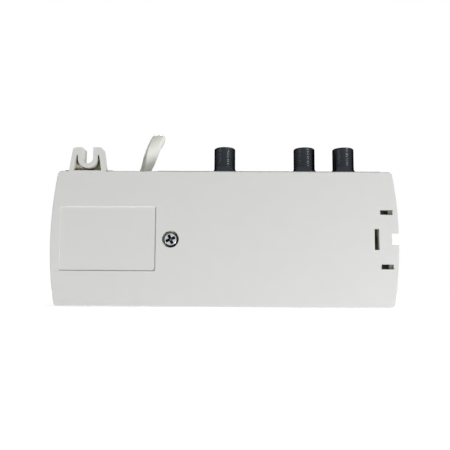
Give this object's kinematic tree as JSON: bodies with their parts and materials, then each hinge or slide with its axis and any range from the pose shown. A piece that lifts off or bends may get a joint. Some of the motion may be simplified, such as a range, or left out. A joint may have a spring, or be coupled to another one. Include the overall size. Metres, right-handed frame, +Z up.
{
  "type": "tv signal amplifier",
  "caption": "Flat arched-end amplifier housing with screw-on aerial sockets, a slotted fixing lug and a captive mains lead, laid up in a coil behind it.",
  "frame": {"origin": "middle of the long bottom wall the housing stands on, at floor level, measured without the mains lead", "axes": "+X to the right and +Z up as seen from the back cover, -Y out of the back cover, +Y out of the front"},
  "size_m": [0.1478, 0.1659, 0.0885],
  "materials": {
    "case_plastic": "fine spark-eroded texture",
    "zinc_steel": "bright zinc plate",
    "board_laminate": "solder resist over woven glass",
    "black_nickel": "dark plated, satin",
    "white_dielectric": "waxy",
    "contact_brass": "plain",
    "tinned_steel": "bright tin",
    "core_iron": "varnished laminations",
    "bobbin_nylon": "as moulded",
    "winding_copper": "enamelled wire",
    "fuse_glass": "clear",
    "capacitor_sleeve": "shrink sleeve",
    "film_case": "boxed",
    "black_epoxy": "transfer moulded",
    "plain_aluminium": "mill finish",
    "ferrite": "sintered",
    "ceramic_coat": "dipped",
    "resistor_coat": "lacquered",
    "lamp_lens": "tinted",
    "cord_sheath": "extruded",
    "wire_blue": "extruded",
    "tie_plastic": "smooth",
    "nickel_brass": "nickel plate",
    "sleeve_black": "smooth"
  },
  "bodies": {
    "root": {"back_cover": "case_plastic", "front_case": "case_plastic", "cover_screw": "zinc_steel", "circuit_board": "board_laminate", "board_screws": "zinc_steel", "input_socket_shell": "black_nickel", "output_1_socket_shell": "black_nickel", "output_2_socket_shell": "black_nickel", "input_socket_insulator": "white_dielectric", "output_1_socket_insulator": "white_dielectric", "output_2_socket_insulator": "white_dielectric", "input_socket_contact": "contact_brass", "output_1_socket_contact": "contact_brass", "output_2_socket_contact": "contact_brass", "screen_frame": "tinned_steel", "screen_lid": "tinned_steel", "transformer_core": "core_iron", "transformer_bobbin": "bobbin_nylon", "transformer_winding": "winding_copper", "fuse": "fuse_glass", "fuse_clips": "contact_brass", "smoothing_capacitor": "capacitor_sleeve", "output_capacitor": "capacitor_sleeve", "suppressor_capacitor": "film_case", "rectifier_diodes": "black_epoxy", "voltage_regulator": "black_epoxy", "cooling_plate": "plain_aluminium", "amplifier_chips": "black_epoxy", "choke_coils": "winding_copper", "splitter_core": "ferrite", "ceramic_capacitors": "ceramic_coat", "resistors": "resistor_coat", "power_lamp": "lamp_lens", "cord_clamp": "bobbin_nylon", "clamp_screws": "zinc_steel", "cord_bush": "case_plastic", "cord_inner_end": "cord_sheath", "supply_wires": "wire_blue", "mains_cord": "cord_sheath", "cord_coil": "cord_sheath", "cord_tie": "tie_plastic", "plug_lead": "cord_sheath", "plug_body": "cord_sheath", "plug_pins": "nickel_brass", "pin_sleeves": "sleeve_black"}
  },
  "joints": []
}
